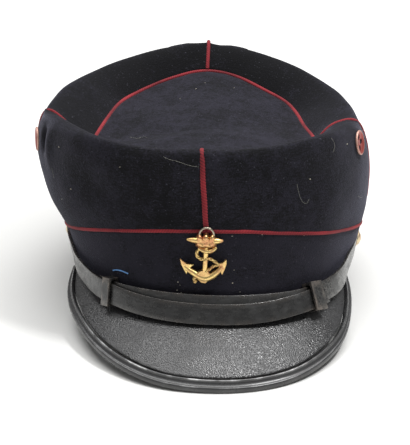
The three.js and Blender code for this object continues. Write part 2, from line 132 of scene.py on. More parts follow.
class StageSettings(bpy.types.PropertyGroup):
    """Floor, light and camera."""
    floor: colour_field("Floor", "Colour of the studio floor", "#e4e4e2")
    key_power: FloatProperty(
        name="Key light", description="Power of the wide soft light overhead", unit="POWER",
        min=0, default=36.0)
    glint_power: FloatProperty(
        name="Glint light", description="Power of the small softbox the peak reflects",
        unit="POWER", min=0, default=8.6)
    surround: FloatProperty(
        name="Surround", description="Brightness of the white room", min=0, default=0.3)
    lens: FloatProperty(
        name="Lens", description="Focal length on a 36 mm sensor, in millimetres",
        min=10, default=112.61)


GROUPS = {
    "kepi_wool": WoolSettings,
    "kepi_piping": PipingSettings,
    "kepi_leather": LeatherSettings,
    "kepi_metal": MetalSettings,
    "kepi_stage": StageSettings,
}

# Where the camera stands and what it looks at, with its turn about that line in degrees.
EYE = (20.4245, -735.0467, 337.8858)
AIM = (1.0494, 5.879, 35.8833)
ROLL = 0.25
PICTURE = (410, 445)

# Seed of the soft noise that the slack cloth follows.
RUMPLE_SEED = 11

# Seats of the hard parts: a point, and the directions across, up and out of its face.
SEATS = {
    "badge": ((2.863, -89.702, 42.9), (1, 0, 0), (0, 0.02143, 0.99977)),
    "vent_left": ((-91.743, -8.382, 90.538), (0.22517, -0.96597, 0.12726),
                  (0.00435, 0.13161, 0.99129)),
    "vent_right": ((84.435, -29.163, 96.799), (0.33812, 0.93304, -0.12292),
                   (-0.13837, 0.17848, 0.97417)),
    "button_left": ((-77.066, 4.848, 30.572), (0.02004, -0.99123, 0.13059),
                    (-0.29987, 0.11864, 0.94657)),
    "button_right": ((88.35, 0.067, 29.775), (0.04039, 0.99062, -0.13051),
                     (0.17752, 0.12142, 0.9766)),
}

# Soft folds of the slack crown: centre, reach along x, y and z, and push at the centre.
FOLDS = [
    ((-86, -25, 96), (6.5, 3.4, 5.5), (4.2, 2.2, 0)),
    ((-82, -35, 95), (9, 5, 10), (-1.3, -0.8, 0)),
    ((-74, 8, 89), (13, 16, 12), (0, 0, -4.2)),
    ((72, 12, 88), (8, 14, 12), (0, 0, 2.6)),
    ((61, 12, 84), (6, 12, 10), (0, 0, -1.2)),
    ((-52, -66, 84), (26, 22, 9), (0.8, 1.6, 0)),
    ((42, -72, 84), (26, 22, 8), (-0.6, 1.7, 0)),
    ((0, -84, 72), (60, 14, 8), (0, -0.7, 0)),
    ((66, -58, 66), (12, 14, 16), (0.8, -0.8, 0)),
    ((86, -14, 38), (9, 20, 17), (2.0, -0.5, 0)),
    ((4, 126, 113), (12, 14, 9), (0, 0, -1.3)),
    ((-52, -68, 92), (20, 10, 6), (0, 0.8, -0.6)),
]


# Small tools

def alone(piece):
    """Makes a piece the only selected and the active object."""
    if bpy.context.object and bpy.context.object.mode != "OBJECT":
        bpy.ops.object.mode_set(mode="OBJECT")
    bpy.ops.object.select_all(action="DESELECT")
    piece.select_set(True)
    bpy.context.view_layer.objects.active = piece


def apply(piece, kind, **settings):
    """Adds a modifier with its settings and applies it."""
    alone(piece)
    modifier = piece.modifiers.new(kind.title(), kind)
    for name, value in settings.items():
        setattr(modifier, name, value)
    bpy.ops.object.modifier_apply(modifier=modifier.name)


def smooth(piece, angle=None):
    alone(piece)
    if angle is None:
        bpy.ops.object.shade_smooth()
    else:
        bpy.ops.object.shade_smooth_by_angle(angle=math.radians(angle))


@contextmanager
def editing(piece):
    """The piece's mesh with its edges and faces, written back at the end."""
    mesh = bmesh.new()
    mesh.from_mesh(piece.data)
    yield mesh
    mesh.to_mesh(piece.data)
    mesh.free()


@contextmanager
def all_selected(piece):
    """Edit mode with the whole piece selected."""
    alone(piece)
    bpy.ops.object.mode_set(mode="EDIT")
    bpy.ops.mesh.select_all(action="SELECT")
    yield
    bpy.ops.object.mode_set(mode="OBJECT")


def linked(name, data):
    piece = bpy.data.objects.new(name, data)
    bpy.context.scene.collection.objects.link(piece)
    return piece


def new_mesh(name, corners, faces):
    """A piece from corners in metres and faces."""
    data = bpy.data.meshes.new(name)
    data.from_pydata([tuple(c) for c in corners], [], faces)
    data.validate()
    return linked(name, data)


def face_outwards(piece):
    with all_selected(piece):
        bpy.ops.mesh.normals_make_consistent(inside=False)


def copy_of(node, name):
    """A copy of a CAD node with its corners joined and its triangles paired to quads."""
    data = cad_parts[node].data.copy()
    data.name = name
    piece = linked(name, data)
    with all_selected(piece):
        bpy.ops.mesh.remove_doubles(threshold=WELD)
        bpy.ops.mesh.tris_convert_to_quads(
            face_threshold=math.radians(70), shape_threshold=math.radians(120),
            topology_influence=1.0)
    return piece


def join(name, pieces):
    """Several meshes as one."""
    alone(pieces[0])
    for piece in pieces:
        piece.select_set(True)
    bpy.ops.object.join()
    pieces[0].name = name
    pieces[0].data.name = name
    return pieces[0]


def dress(piece, material, slot, *nodes):
    """Gives a piece its finish, hangs it from the root body and hides the CAD nodes it replaces; the
    slot is not used.
    """
    piece.data.materials.clear()
    piece.data.materials.append(material)
    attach(piece, "root")
    if nodes:
        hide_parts(*nodes)


def seat_matrix(name, up_by=0.0):
    """The matrix from a hard part's own millimetres to the cap."""
    point, across, up = SEATS[name]
    across, up = Vector(across), Vector(up)
    out = across.cross(up).normalized()
    turn = Matrix((across, up, out)).transposed().to_4x4()
    place = (Vector(point) + out * up_by) * MM
    return Matrix.Translation(place) @ turn @ Matrix.Scale(MM, 4)


def settle(piece, matrix):
    """Bakes a matrix into the mesh, so that the object stays at the origin."""
    piece.data.transform(matrix)
    piece.data.update()


def values(piece):
    """The mesh's corners as an array in millimetres."""
    flat = np.empty(len(piece.data.vertices) * 3)
    piece.data.vertices.foreach_get("co", flat)
    return flat.reshape(-1, 3) / MM


def set_values(piece, points):
    piece.data.vertices.foreach_set("co", (np.asarray(points) * MM).ravel())
    piece.data.update()


def mark(piece, name, amounts):
    """Stores one number for each corner, for a material to read."""
    field = piece.data.attributes.new(name, "FLOAT", "POINT")
    field.data.foreach_set("value", np.asarray(amounts, dtype=np.float32))


def mark_all(piece, name, amount):
    mark(piece, name, [amount] * len(piece.data.vertices))


# Shapes along a path

def rings_of(node, near):
    """A swept node's rings of corners, in order along it, and whether it closes.

    Corners of one ring are joined by edges shorter than near, in millimetres as the rings are.
    """
    mesh = bmesh.new()
    mesh.from_mesh(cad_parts[node].data)
    bmesh.ops.remove_doubles(mesh, verts=mesh.verts, dist=WELD)
    number, rings = {}, []
    for vert in mesh.verts:
        if vert in number:
            continue
        stack, members = [vert], []
        number[vert] = len(rings)
        while stack:
            here = stack.pop()
            members.append(here)
            for edge in here.link_edges:
                other = edge.other_vert(here)
                if other not in number and edge.calc_length() < near * MM:
                    number[other] = len(rings)
                    stack.append(other)
        rings.append(members)
    beside = [set() for _ in rings]
    for edge in mesh.edges:
        a, b = (number[v] for v in edge.verts)
        if a != b:
            beside[a].add(b)
            beside[b].add(a)
    ends = [i for i, near_by in enumerate(beside) if len(near_by) == 1]
    order, here = [], (ends or [0])[0]
    while here is not None:
        order.append(here)
        here = next((i for i in sorted(beside[here]) if i not in order), None)
    found = [np.array([v.co[:] for v in rings[i]]) / MM for i in order]
    mesh.free()
    return found, not ends


def curve_through(rows, closed, pieces):
    """Rows of numbers smoothed by a cubic B-spline, with so many places for each row."""
    rows = np.asarray(rows, float)
    if closed:
        wide = np.vstack([rows[-1:], rows, rows[:2]])
        spans = len(rows)
    else:
        wide = np.vstack([2 * rows[:1] - rows[1:2], rows, 2 * rows[-1:] - rows[-2:-1]])
        spans = len(rows) - 1
    out = []
    for i in range(spans):
        a, b, c, d = wide[i:i + 4]
        for t in np.linspace(0, 1, pieces, endpoint=False):
            out.append((a * (1 - t) ** 3 + b * (3 * t ** 3 - 6 * t ** 2 + 4)
                        + c * (-3 * t ** 3 + 3 * t ** 2 + 3 * t + 1) + d * t ** 3) / 6)
    if not closed:
        out.append(rows[-1])
    return np.array(out)


def evenly(points, step, closed):
    """Places a step apart along a line of points."""
    line = np.vstack([points, points[:1]]) if closed else points
    run = np.concatenate([[0], np.cumsum(np.linalg.norm(np.diff(line, axis=0), axis=1))])
    count = max(int(round(run[-1] / step)), 3)
    wanted = np.linspace(0, run[-1], count + 1)
    if closed:
        wanted = wanted[:-1]
    return np.stack([np.interp(wanted, run, line[:, k]) for k in range(3)], 1), run[-1]


def frames_along(points, closed):
    """Two directions across a line at each place, carried along it without twist."""
    if closed:
        along = np.roll(points, -1, 0) - np.roll(points, 1, 0)
    else:
        along = np.gradient(points, axis=0)
    along /= np.linalg.norm(along, axis=1)[:, None]
    start = np.array([0.0, 0.0, 1.0])
    if abs(along[0] @ start) > 0.9:
        start = np.array([0.0, 1.0, 0.0])
    first, across = start, []
    for t in along:
        first = first - t * (first @ t)
        first /= np.linalg.norm(first)
        across.append(first)
    across = np.array(across)
    if closed:
        last = across[-1] - along[0] * (across[-1] @ along[0])
        last /= np.linalg.norm(last)
        miss = math.atan2(np.cross(across[0], last) @ along[0], across[0] @ last)
        side = np.cross(along, across)
        turn = -miss * np.arange(len(points)) / len(points)
        across = across * np.cos(turn)[:, None] + side * np.sin(turn)[:, None]
    return across, np.cross(along, across)


def tube(name, points, radius, sides, closed, relief=None, length=0.0):
    """A round piece along a line of some length, its radius grown by relief(turn, run)."""
    across, side = frames_along(points, closed)
    count = len(points)
    radius = np.broadcast_to(np.asarray(radius, float), (count,))
    turn = np.arange(sides) / sides
    run = np.arange(count) / (count if closed else max(count - 1, 1)) * length
    share = np.ones((count, sides))
    if relief:
        share = 1 + relief(turn[None, :], run[:, None])
    ring = radius[:, None] * share
    angle = turn * 2 * math.pi
    corners = (points[:, None, :]
               + across[:, None, :] * (ring * np.cos(angle))[:, :, None]
               + side[:, None, :] * (ring * np.sin(angle))[:, :, None])
    faces = []
    for i in range(count if closed else count - 1):
        here, there = i * sides, ((i + 1) % count) * sides
        for j in range(sides):
            nxt = (j + 1) % sides
            faces.append((here + j, here + nxt, there + nxt, there + j))
    if not closed:
        faces.append(tuple(range(sides))[::-1])
        faces.append(tuple((count - 1) * sides + j for j in range(sides)))
    piece = new_mesh(name, corners.reshape(-1, 3) * MM, faces)
    mark(piece, "ridge", np.clip((share.ravel() - share.min()) / max(np.ptp(share), 1e-6), 0, 1))
    smooth(piece)
    return piece


def twisted(strands, pitch, depth):
    """The relief of a rope of strands laid round each other."""
    return lambda turn, run: depth * (
        np.abs(np.sin(math.pi * (strands * turn + run / pitch))) - 1)


# Materials

def add(tree, kind, settings=None, inputs=None, links=None):
    """Adds a node with its own fields, its socket values and the sockets linked into it."""
    made = tree.nodes.new(kind)
    for name, value in (settings or {}).items():
        setattr(made, name, value)
    for name, value in (inputs or {}).items():
        made.inputs[name].default_value = value
    for name, source in (links or {}).items():
        tree.links.new(source, made.inputs[name])
    return made


def material(name, **sockets):
    """A material with these values on its shader's sockets, its tree and its object space."""
    made = bpy.data.materials.new(name)
    made.use_nodes = True
    tree = made.node_tree
    for socket, value in sockets.items():
        tree.nodes[SHADER].inputs[socket.replace("_", " ")].default_value = value
    return made, tree, add(tree, "ShaderNodeTexCoord").outputs["Object"]


def link(tree, colour, rough=None, height=None, strength=0.0, depth=0.0):
    """Links a colour, a roughness and a relief so many millimetres deep into the shader."""
    shader = tree.nodes[SHADER]
    tree.links.new(colour, shader.inputs["Base Color"])
    if rough is not None:
        tree.links.new(rough, shader.inputs["Roughness"])
    if height is not None:
        bump = add(tree, "ShaderNodeBump", inputs={"Strength": strength, "Distance": depth * MM},
                   links={"Height": height})
        tree.links.new(bump.outputs["Normal"], shader.inputs["Normal"])


def rgba(colour):
    return (*colour, 1.0)


def marked(tree, name):
    """The number that each corner carries under a name."""
    return add(tree, "ShaderNodeAttribute", {"attribute_name": name}).outputs["Fac"]


def grains(tree, place, width, detail=2.0, stretch=None):
    """Soft noise whose grains are about so many millimetres wide."""
    if stretch:
        place = add(tree, "ShaderNodeMapping", inputs={"Scale": stretch},
                    links={"Vector": place}).outputs["Vector"]
    return add(tree, "ShaderNodeTexNoise",
               inputs={"Scale": 1 / (width * MM), "Detail": detail, "Roughness": 0.6},
               links={"Vector": place}).outputs["Fac"]


def cells(tree, place, width, feature="F1"):
    """The distance within cells that are about so many millimetres wide."""
    return add(tree, "ShaderNodeTexVoronoi", {"feature": feature},
               {"Scale": 1 / (width * MM), "Randomness": 1.0},
               {"Vector": place}).outputs["Distance"]


def between(tree, source, low, high, start=0.0, end=1.0):
    """A value taken from low..high to start..end."""
    return add(tree, "ShaderNodeMapRange",
               inputs={"From Min": low, "From Max": high, "To Min": start, "To Max": end},
               links={"Value": source}).outputs["Result"]


def blend(tree, share, first, second):
    """One colour shading into another."""
    made = add(tree, "ShaderNodeMix", {"data_type": "RGBA"}, links={0: share})
    for socket, colour in ((6, first), (7, second)):
        if hasattr(colour, "links"):
            tree.links.new(colour, made.inputs[socket])
        else:
            made.inputs[socket].default_value = rgba(colour)
    return made.outputs[2]


def calc(tree, operation, *values):
    made = add(tree, "ShaderNodeMath", {"operation": operation})
    for i, value in enumerate(values):
        if hasattr(value, "links"):
            tree.links.new(value, made.inputs[i])
        else:
            made.inputs[i].default_value = value
    return made.outputs[0]


def times(tree, first, second):
    return calc(tree, "MULTIPLY", first, second)


def weighted(tree, *terms):
    """The sum of values, each taken as often as its weight says."""
    total = None
    for value, weight in terms:
        part = value if weight == 1 else times(tree, value, weight)
        total = part if total is None else calc(tree, "ADD", total, part)
    return total


def wool_broadcloth():
    """Milled wool broadcloth: matt, its weave felted over, with a soft napped bloom."""
    wool = bpy.context.scene.kepi_wool
    made, tree, place = material(
        "napped_wool_broadcloth", Roughness=0.92, Sheen_Weight=0.4, Sheen_Roughness=0.34,
        Sheen_Tint=rgba(linear("#9c9cb0")), Specular_IOR_Level=0.15)
    # Real fibres are 0.02 mm; the nap is drawn in tufts wide enough to show.
    tuft = wool.nap / MM
    nap = grains(tree, place, tuft, 3.0)
    lying = grains(tree, place, tuft * 1.6, 2.0, (0.45, 0.45, 1.6))
    mottle = grains(tree, place, 9, 4.0)
    cloud = grains(tree, place, 34)
    # The marked tone is painted light: painted sheen on the top and the band, painted shade on the
    # roll that faces the middle.
    tone = weighted(tree, (nap, 2.2), (lying, 1.5), (mottle, 1.7), (cloud, 1.2),
                    (marked(tree, "dust_and_painted_light"), wool.painted_sheen_and_shade))
    colour = blend(tree, between(tree, tone, 3.0, 3.76), wool.dark, wool.light)
    fleck = between(tree, grains(tree, place, 1.0, 1.0), 0.68, 0.8, 0.0, 0.5)
    link(tree, blend(tree, fleck, colour, wool.fleck),
         height=weighted(tree, (nap, 1), (lying, 0.6)), strength=0.75, depth=0.4)
    return made


def piping_twill():
    """Bias-cut wool twill drawn over a cord: matt red with fine slanting ribs."""
    piping = bpy.context.scene.kepi_piping
    made, tree, place = material(
        "red_wool_twill_piping", Roughness=0.82, Sheen_Weight=0.25, Sheen_Roughness=0.4,
        Sheen_Tint=rgba(linear("#ffb4b4")), Specular_IOR_Level=0.3)
    wear, fuzz = grains(tree, place, 7, 3.0), grains(tree, place, 0.5)
    # The ridge share paints the ribs lighter and the grooves darker, as painted highlight and
    # painted shade; wear and fuzz add real patches.
    tone = weighted(tree, (marked(tree, "ridge"), 0.55), (wear, 0.5), (fuzz, 0.25))
    link(tree, blend(tree, between(tree, tone, 0.42, 0.95), piping.deep, piping.bright),
         height=fuzz, strength=0.4, depth=0.2)
    return made


def pebbled_leather():
    """Black hide embossed with a fine pebble, polished by handling so the tops glint."""
    leather = bpy.context.scene.kepi_leather
    made, tree, place = material("pebbled_black_leather", Specular_IOR_Level=0.7, IOR=1.5)
    waver = add(tree, "ShaderNodeTexNoise", inputs={"Scale": 1 / (1.2 * MM)},
                links={"Vector": place}).outputs["Color"]
    warp = add(tree, "ShaderNodeVectorMath", {"operation": "SCALE"}, {"Scale": 0.5 * MM},
               {"Vector": waver}).outputs[0]
    bent = add(tree, "ShaderNodeVectorMath", {"operation": "ADD"},
               links={0: place, 1: warp}).outputs[0]
    dome = between(tree, cells(tree, bent, leather.pebble / MM), 0.0, 0.75, 1.0, 0.0)
    rubbed, fine = grains(tree, place, 13, 3.0), grains(tree, place, 0.6)
    share = times(tree, dome, between(tree, rubbed, 0.3, 0.7, 0.25, 0.9))
    rough = calc(tree, "ADD", between(tree, rubbed, 0.36, 0.64, 0.38, 0.17),
                 between(tree, fine, 0.3, 0.7, -0.06, 0.08))
    link(tree, blend(tree, share, leather.peak, leather.wear_and_painted_highlight), rough,
         weighted(tree, (dome, 1), (fine, 0.5)), strength=0.85, depth=0.16)
    return made


def binding_leather():
    """The same hide turned over the lip: smoother, with a painted highlight of pale colour along its
    two ridges.
    """
    leather = bpy.context.scene.kepi_leather
    made, tree, place = material("polished_leather_binding", Specular_IOR_Level=0.75, IOR=1.5)
    rubbed, fine = grains(tree, place, 11, 3.0), grains(tree, place, 0.7, 3.0)
    tone = between(tree, weighted(tree, (rubbed, 1), (fine, 0.4)), 0.55, 1.05)
    colour = blend(tree, tone, leather.peak, linear("#414142"))
    # Pale colour on the binding's ridges is a painted highlight.
    patch = times(tree, marked(tree, "wear_and_painted_highlight"), between(tree, rubbed, 0.42, 0.6, 0.1, 1.0))
    link(tree, blend(tree, patch, colour, leather.ridge),
         between(tree, rubbed, 0.3, 0.7, 0.34, 0.2), fine, strength=0.3, depth=0.12)
    return made


def strap_leather():
    """Vegetable-tanned strap hide dyed black on its face, with pale bare edges and scuffs."""
    leather = bpy.context.scene.kepi_leather
    made, tree, place = material("dyed_strap_leather", Specular_IOR_Level=0.95, IOR=1.5)
    patch, fine = grains(tree, place, 5, 4.0), grains(tree, place, 0.5, 3.0)
    scuff = grains(tree, place, 2.2, 4.0, (0.5, 0.5, 1.8))
    dust_and_painted_light = between(tree, weighted(tree, (scuff, 0.6), (fine, 0.4)), 0.52, 0.68, 0, 0.42)
    colour = blend(tree, dust_and_painted_light, leather.strap, linear("#4a4a49"))
    # The strap is cracked near its ends, where it bends round the sides of the band.
    across = add(tree, "ShaderNodeSeparateXYZ", links={"Vector": place}).outputs["X"]
    side = between(tree, calc(tree, "ABSOLUTE", across), 59 * MM, 66 * MM)
    crack = between(tree, cells(tree, place, 1.9, "DISTANCE_TO_EDGE"), 0.14, 0.02)
    shown = times(tree, crack, times(tree, side, between(tree, patch, 0.3, 0.55, 0.3, 1.0)))
    colour = blend(tree, shown, colour, leather.crackle)
    bare = times(tree, marked(tree, "edge"), between(tree, patch, 0.4, 0.62, 0.1, 0.8))
    link(tree, blend(tree, bare, colour, leather.raw),
         between(tree, patch, 0.35, 0.65, 0.4, 0.16),
         weighted(tree, (fine, 1), (scuff, 0.8)), strength=0.4, depth=0.2)
    return made


def worn_brass(name, tint, pale=0.0):
    """Stamped brass, bright on its high places, browned in its hollows, gilding worn through."""
    metal = bpy.context.scene.kepi_metal
    made, tree, place = material(name, Metallic=1.0)
    blush = marked(tree, "blush")
    wear_and_painted_highlight, fine = grains(tree, place, 3.2, 3.0), grains(tree, place, 0.5, 3.0)
    copper = calc(tree, "MAXIMUM", between(tree, wear_and_painted_highlight, 0.45, 0.7, 0.0, tint),
                  times(tree, blush, between(tree, wear_and_painted_highlight, 0.3, 0.6, 0.35, 0.95)))
    first = tuple(c + (s - c) * pale for c, s in zip(metal.brass, metal.silvery))
    colour = blend(tree, copper, first, metal.copper)
    hollow = add(tree, "ShaderNodeNewGeometry").outputs["Pointiness"]
    film = between(tree, hollow, 0.5, 0.44, 0.0, 0.8)
    punched = between(tree, cells(tree, place, 0.95), 0.36, 0.18, 0.0, 0.75)
    for stain in (between(tree, fine, 0.58, 0.74, 0.0, 0.6),
                  times(tree, marked(tree, "groove"), 0.85), times(tree, blush, punched)):
        film = calc(tree, "MAXIMUM", film, stain)
    link(tree, blend(tree, film, colour, metal.tarnish),
         between(tree, calc(tree, "ADD", wear_and_painted_highlight, fine), 0.7, 1.3, 0.24, 0.48),
         fine, strength=0.4, depth=0.15)
    return made


def vent_lacquer():
    """Copper eyelet under red lacquer, chipped to bright metal round its rim and holes."""
    metal = bpy.context.scene.kepi_metal
    made, tree, place = material("red_lacquered_copper", Roughness=0.38, Metallic=0.35)
    chips = grains(tree, place, 0.9, 3.0)
    share = times(tree, marked(tree, "edge"), between(tree, chips, 0.3, 0.6, 0.4, 1.0))
    colour = blend(tree, share, metal.enamel, metal.rim)
    stain = between(tree, chips, 0.6, 0.75, 0, 0.5)
    link(tree, blend(tree, stain, colour, linear("#7a2b28")), height=chips, strength=0.3,
         depth=0.1)
    return made


def plain_fibre(name, colour):
    """Loose thread or hair: matt, slightly mottled along its length."""
    made, tree, place = material(name, Roughness=0.9, Specular_IOR_Level=0.3)
    link(tree, blend(tree, grains(tree, place, 0.8, 1.0), tuple(0.6 * c for c in colour), colour))
    return made


# The slack crown

# Height of the seam over the band, and how far above it the cloth is fully slack.
SEAM = 52.0
SLACK = 22


def rumple(points):
    """How far slack cloth wanders at each place, in millimetres; none at the band."""
    depth = bpy.context.scene.kepi_wool.rumple / MM
    moves = np.zeros_like(points)
    for i, (x, y, z) in enumerate(points):
        free = min(max((z - SEAM - 0.02 * y) / SLACK, 0), 1)
        if free <= 0:
            continue
        # Wide folds of about 40 mm, with small ones of about 17 mm on them.
        wide = noise.noise_vector(Vector((x / 42 + 3.1, y / 42, z / 34)))
        small = noise.noise_vector(Vector((x / 17, y / 17 + 7.7, z / 13)))
        moves[i] = (wide * 1.25 + small * 0.4) * depth * free
    for centre, reach, push in FOLDS:
        far = ((points - np.array(centre)) / np.array(reach)) ** 2
        moves += np.exp(-far.sum(1))[:, None] * np.array(push)
    return moves


def crease_rim(mesh, thickness, sharpness, across=False):
    """Creases a wall's cut sides, across them too if told so, and returns their corners."""
    crease = mesh.edges.layers.float.new("crease_edge")
    thin = {e for e in mesh.edges if e.calc_length() < thickness * MM}
    rim = {v for e in thin for f in e.link_faces for v in f.verts}
    for edge in mesh.edges:
        if all(v in rim for v in edge.verts) and (across or edge not in thin):
            edge[crease] = sharpness
    return rim


def subdivide(piece, levels=3):
    apply(piece, "SUBSURF", levels=levels, render_levels=levels)


def bevel(piece, width, segments):
    apply(piece, "BEVEL", width=width, segments=segments, limit_method="ANGLE",
          angle_limit=math.radians(50))


def cloth(node, name, tuck, upward_only=False):
    """A smooth piece of cloth in the place of a CAD wall, its edges tucked into the seams.

    The tuck is in millimetres, and with upward_only it leaves all but the upper edge alone.
    """
    piece = copy_of(node, name)
    with editing(piece) as mesh:
        rim = crease_rim(mesh, thickness=2.75, sharpness=0.75, across=True)
        pulls = {}
        for vert in rim:
            inner = [e.other_vert(vert) for e in vert.link_edges if e.other_vert(vert) not in rim]
            if inner:
                pulls[vert] = sum(((vert.co - v.co).normalized() for v in inner), Vector())
        found = dict(pulls)
        for vert in rim:
            if vert not in found:
                pulls[vert] = sum((found[e.other_vert(vert)] for e in vert.link_edges
                                   if e.other_vert(vert) in found), Vector())
        for vert, pull in pulls.items():
            if pull.length > 1e-9 and (not upward_only or pull.normalized().z > 0.4):
                vert.co += pull.normalized() * tuck * MM
    subdivide(piece)
    points = values(piece)
    set_values(piece, points + rumple(points))
    smooth(piece)
    return piece


def inward(piece):
    """How far each corner faces the middle of the cap, where the roll is painted darker as painted
    shade.
    """
    points = values(piece)
    normals = np.empty(len(points) * 3)
    piece.data.vertices.foreach_get("normal", normals)
    normals = normals.reshape(-1, 3)
    middle = -points[:, :2] / np.linalg.norm(points[:, :2], axis=1)[:, None]
    return np.clip((normals[:, :2] * middle).sum(1) * 1.6 + 0.25, 0, 1)


class KEPI_OT_crown(bpy.types.Operator):
    """Make the band, the four crown quarters and the sunken top of napped wool"""
    bl_idname = "kepi.crown"
    bl_label = "Band and crown"

    def execute(self, context):
        wool = wool_broadcloth()
        band = cloth("band", "band_wool", 0.7, True)
        # The band is painted lighter: painted light.
        mark_all(band, "dust_and_painted_light", 0.42)
        dress(band, wool, "wool", "band")
        for side in ("front_right", "front_left", "back_right", "back_left"):
            piece = cloth("crown_" + side, "quarter_" + side, 0.8)
            # The roll's cloth that faces the middle is painted darker: painted shade.
            mark(piece, "dust_and_painted_light", -0.5 * inward(piece))
            dress(piece, wool, "wool", "crown_" + side)
        top = cloth("top_disc", "sunken_top", 0.8)
        # The sunken top is painted lighter: painted sheen.
        mark_all(top, "dust_and_painted_light", 0.12)
        dress(top, wool, "wool", "top_disc")
        return {"FINISHED"}


# Piping

# How far an open cord runs on under the pieces at its ends, in millimetres.
OVERRUN = 1.5


def piping(node, name, thickness):
    """A ribbed cord along the middle of a CAD cord, following the slack cloth beside it."""
    rings, closed = rings_of(node, near=1.7)
    centres = curve_through([ring.mean(0) for ring in rings], closed, 12)
    if not closed:
        first, last = centres[0] - centres[4], centres[-1] - centres[-5]
        centres = np.vstack([centres[:1] + first / np.linalg.norm(first) * OVERRUN, centres,
                             centres[-1:] + last / np.linalg.norm(last) * OVERRUN])
    centres = centres + rumple(centres)
    points, length = evenly(centres, step=0.45, closed=closed)
    pitch = bpy.context.scene.kepi_piping.pitch / MM
    pitch = length / round(length / pitch)
    # How deep the ribs are, as a share of the cord's radius.
    deep = 0.12 if node == "front_piping" else 0.055
    # A closed cord's slow swelling meets itself after whole waves of about 46 mm.
    wave = 2 * math.pi * round(length / 46) / length if closed else 1 / 7.3

    def ribs(turn, run):
        return deep * np.sin(2 * math.pi * (3 * turn + run / pitch)) + 0.03 * np.sin(run * wave)

    return tube(name, points, thickness / 2, 16, closed, ribs, length)


class KEPI_OT_piping(bpy.types.Operator):
    """Lay the red twill piping in every seam"""
    bl_idname = "kepi.piping"
    bl_label = "Piping"

    def execute(self, context):
        red = piping_twill()
        sizes = context.scene.kepi_piping
        for place in ("band", "disc", "front", "right", "back", "left"):
            thick = (sizes.front if place == "front" else sizes.seam) / MM
            node = place + "_piping"
            dress(piping(node, place + "_cord", thick), red, "piping", node)
        return {"FINISHED"}


# Peak

def peak_leather():
    """The peak's hide, with its slight waves."""
    piece = copy_of("peak", "peak_hide")
    with editing(piece) as mesh:
        crease_rim(mesh, thickness=2.0, sharpness=0.85)
    subdivide(piece)
    points = values(piece)
    points[:, 2] += [noise.noise(Vector(p / 24)) * 0.35 + noise.noise(Vector(p / 9)) * 0.08
                     for p in points]
    set_values(piece, points)
    smooth(piece)
    return piece


# The binding's section, from its inner bead over the roll to the lip and back underneath, as
# shares of its half width and half thickness.
BINDING = [
    (-1.0, 0.2), (-0.99, 0.62), (-0.93, 0.95), (-0.83, 1.12), (-0.71, 1.13), (-0.6, 0.98),
    (-0.5, 0.78), (-0.36, 0.66), (-0.16, 0.6), (0.04, 0.57), (0.19, 0.62), (0.32, 0.74),
    (0.46, 0.76), (0.6, 0.64), (0.75, 0.42), (0.88, 0.16), (0.97, -0.08), (0.96, -0.32),
    (0.84, -0.56), (0.62, -0.74), (0.35, -0.85), (0.0, -0.9), (-0.4, -0.86), (-0.75, -0.68),
    (-0.95, -0.3),
]


# Middle of the head opening, seen from above.
HEAD_MIDDLE = np.array([3.0, 10.0])
# The binding's ridges carry a painted highlight in front, and no further out than this from its
# middle.
PAINTED_HIGHLIGHT_WITHIN = 68


def peak_roll():
    """The leather turned over the peak's lip, with a bead along its inner side."""
    rings, _ = rings_of("peak_binding", near=3.0)
    rows = []
    for ring in rings:
        centre = ring.mean(0)
        long, short = np.linalg.svd(ring - centre)[2][:2]
        if long[:2] @ (centre[:2] - HEAD_MIDDLE) < 0:
            long = -long
        if short[2] < 0:
            short = -short
        half = [np.abs((ring - centre) @ axis).max() for axis in (long, short)]
        rows.append(np.concatenate([centre, long * half[0], short * half[1]]))
    for end, inner in ((0, 1), (-1, -2)):
        scale = np.linalg.norm(rings[end] - rings[end].mean(0), axis=1).max() / np.linalg.norm(
            rows[inner][3:6])
        rows[end][3:] = rows[inner][3:] * min(scale, 1.0)
    rows = curve_through(rows, False, 7)
    section = curve_through(BINDING, True, 2)
    # The bead and the crest of the roll carry the painted highlight, fading out away from the front.
    bead = [max(0.0, 1 - abs(u + 0.77) / 0.2) * (v > 0.8) for u, v in section]
    roll = [max(0.0, 1 - abs(u - 0.42) / 0.14) * (0.6 < v <= 0.8) for u, v in section]
    ridge = [first + 0.25 * second for first, second in zip(bead, roll)]
    fades = [min(max((PAINTED_HIGHLIGHT_WITHIN - abs(row[0] - HEAD_MIDDLE[0])) / 26, 0), 1) for row in rows]
    count, sides = len(rows), len(section)
    corners = [(row[:3] + row[3:6] * u + row[6:9] * v) * MM for row in rows for u, v in section]
    faces = [(i * sides + j, i * sides + (j + 1) % sides, (i + 1) * sides + (j + 1) % sides,
              (i + 1) * sides + j) for i in range(count - 1) for j in range(sides)]
    faces += [tuple(range(sides)), tuple((count - 1) * sides + j for j in range(sides))]
    piece = new_mesh("peak_roll", corners, faces)
    # These marks give where the painted highlight goes.
    mark(piece, "wear_and_painted_highlight", [fade * share for fade in fades for share in ridge])
    face_outwards(piece)
    smooth(piece, 60)
    return piece


class KEPI_OT_peak(bpy.types.Operator):
    """Make the pebbled peak and its rolled binding"""
    bl_idname = "kepi.peak"
    bl_label = "Peak"

    def execute(self, context):
        dress(peak_leather(), pebbled_leather(), "leather", "peak")
        dress(peak_roll(), binding_leather(), "leather", "peak_binding")
        return {"FINISHED"}


# Strap

def mark_edges(piece, lines, reach):
    """Marks how near each corner lies to the cut edges, from 1 on them to 0 at a reach."""
    tree = KDTree(len(lines))
    for i, point in enumerate(lines):
        tree.insert(point, i)
    tree.balance()
    near = [max(0.0, 1 - tree.find(v.co)[2] / (reach * MM)) for v in piece.data.vertices]
    mark(piece, "edge", near)


def cut_edges(mesh):
    """The edges where a strip's face turns to its cut side."""
    mesh.normal_update()
    return [edge for edge in mesh.edges
            if len(edge.link_faces) == 2 and edge.calc_face_angle() > math.radians(55)]


